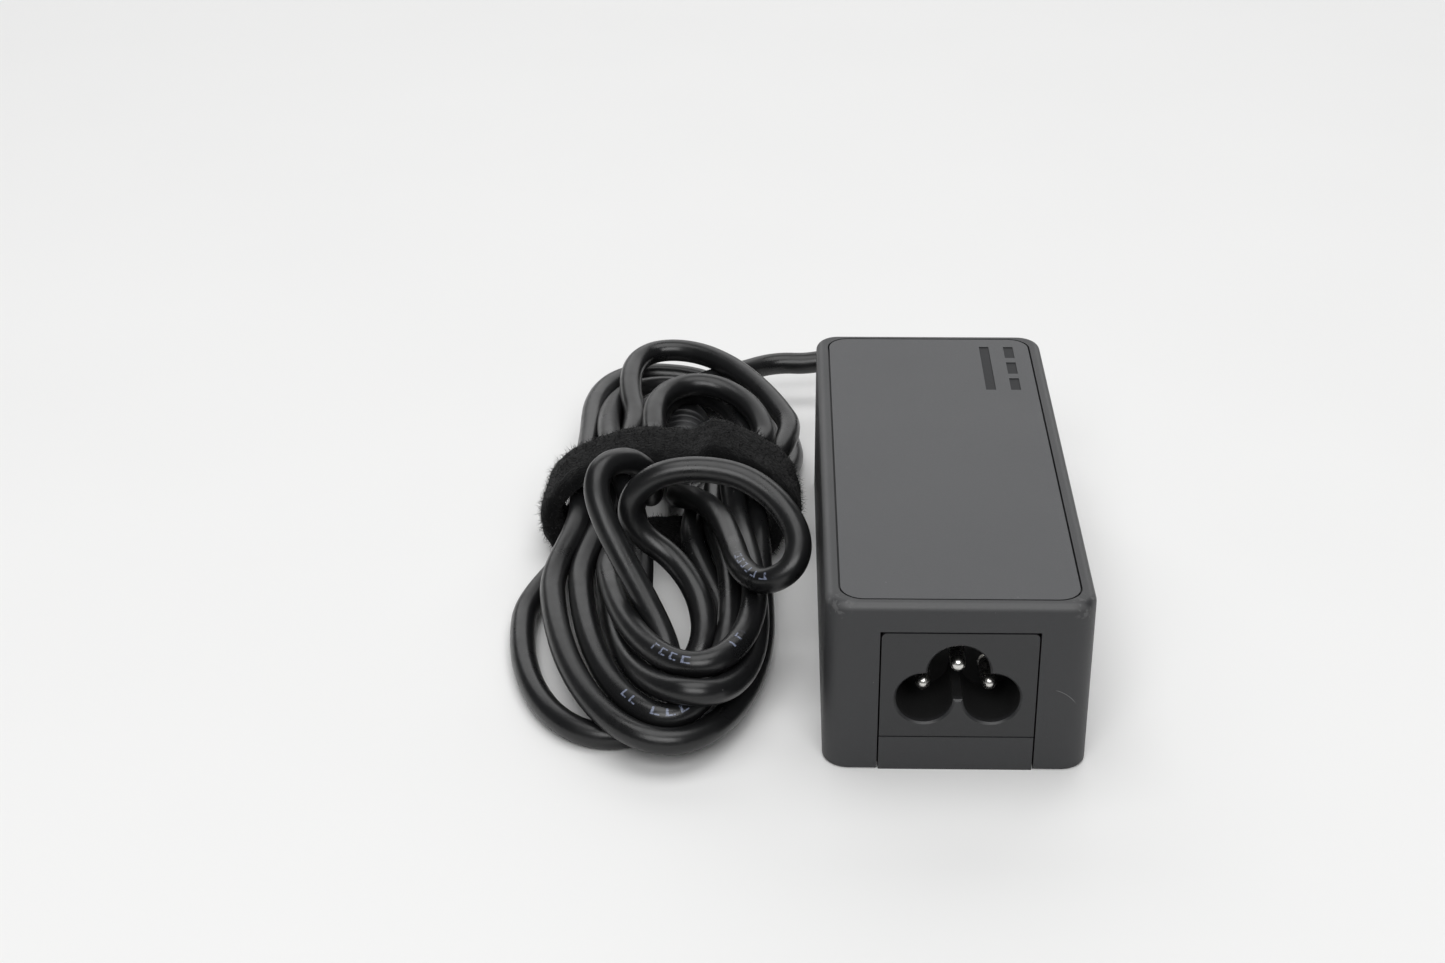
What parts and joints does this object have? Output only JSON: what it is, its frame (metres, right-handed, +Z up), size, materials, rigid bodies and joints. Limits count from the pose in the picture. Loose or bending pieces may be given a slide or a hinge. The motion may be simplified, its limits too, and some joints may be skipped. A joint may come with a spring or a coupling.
{
  "type": "laptop power adapter",
  "caption": "Slim rectangular laptop power adapter with a recessed round-pin mains inlet in one end and a thin output cord folded into a tied hank with a barrel plug.",
  "frame": {"origin": "centre of the case's footprint, on the surface that it stands on", "axes": "+Y along the case's length, from the mains inlet to the output cord; +Z up, across its thickness; +X completes the frame, and the hank lies on the -X side"},
  "size_m": [0.0922, 0.1298, 0.0331],
  "materials": {
    "case_plastic": "moulded charcoal plastic with a fine spark-eroded texture",
    "panel_plastic": "moulded charcoal plastic with a fine spark-eroded texture",
    "cover_plastic": "moulded charcoal plastic",
    "inlet_plastic": "moulded dark plastic",
    "contact_nickel": "nickel-plated brass",
    "label_film": "blank satin film",
    "board_laminate": "green glass laminate",
    "film_clear": "thin insulating film",
    "part_plastic": "black moulded component body",
    "thermistor_green": "dark green coated disc",
    "capacitor_yellow": "yellow boxed capacitor",
    "capacitor_blue": "blue coated disc",
    "can_sleeve": "dark sleeve over an aluminium can",
    "ferrite": "dark grey ferrite",
    "copper": "enamelled copper wire",
    "winding_tape": "yellow polyester tape",
    "bobbin_plastic": "black bobbin plastic",
    "sheet_aluminium": "rolled sheet",
    "thermal_foam": "soft grey pad",
    "wire_sleeve_red": "red wire insulation",
    "wire_sleeve_blue": "blue wire insulation",
    "wire_sleeve_green": "green wire insulation",
    "wire_sleeve_white": "white wire insulation",
    "cord_jacket": "black satin cord jacket",
    "relief_rubber": "black flexible moulding",
    "tie_fabric": "black hook-and-loop tape, brushed loop side out",
    "plug_plastic": "black plug grip",
    "plug_nickel": "nickel-plated barrel"
  },
  "bodies": {
    "root": {"upper_shell": "case_plastic", "top_panel": "panel_plastic", "bottom_cover": "cover_plastic", "rating_label": "label_film", "inlet_block": "inlet_plastic", "line_contact": "contact_nickel", "neutral_contact": "contact_nickel", "earth_contact": "contact_nickel", "line_wire": "wire_sleeve_red", "neutral_wire": "wire_sleeve_blue", "earth_wire": "wire_sleeve_green", "main_board": "board_laminate", "insulation_sheet": "film_clear", "fuse_link": "part_plastic", "inrush_thermistor": "thermistor_green", "x_capacitor": "capacitor_yellow", "choke_core": "ferrite", "choke_winding_left": "copper", "choke_winding_right": "copper", "bridge_rectifier": "part_plastic", "bulk_capacitor": "can_sleeve", "primary_heat_sink": "sheet_aluminium", "switching_transistor": "part_plastic", "transformer_core": "ferrite", "transformer_bobbin": "bobbin_plastic", "transformer_winding": "winding_tape", "controller_chip": "part_plastic", "y_capacitor": "capacitor_blue", "optocoupler": "part_plastic", "secondary_heat_sink": "sheet_aluminium", "output_rectifier": "part_plastic", "output_capacitor_left": "can_sleeve", "output_capacitor_right": "can_sleeve", "output_choke": "copper", "heat_spreader": "sheet_aluminium", "thermal_pad": "thermal_foam", "output_wire_positive": "wire_sleeve_white", "output_wire_negative": "wire_sleeve_red", "strain_relief": "relief_rubber", "cord_lead": "cord_jacket", "cord_hank": "cord_jacket", "cord_narrow_loop": "cord_jacket", "cord_wide_loop": "cord_jacket", "cable_tie": "tie_fabric", "cord_tail": "cord_jacket", "plug_relief": "relief_rubber", "plug_body": "plug_plastic", "plug_barrel": "plug_nickel", "plug_insulator": "bobbin_plastic", "plug_contact": "plug_nickel"}
  },
  "joints": []
}
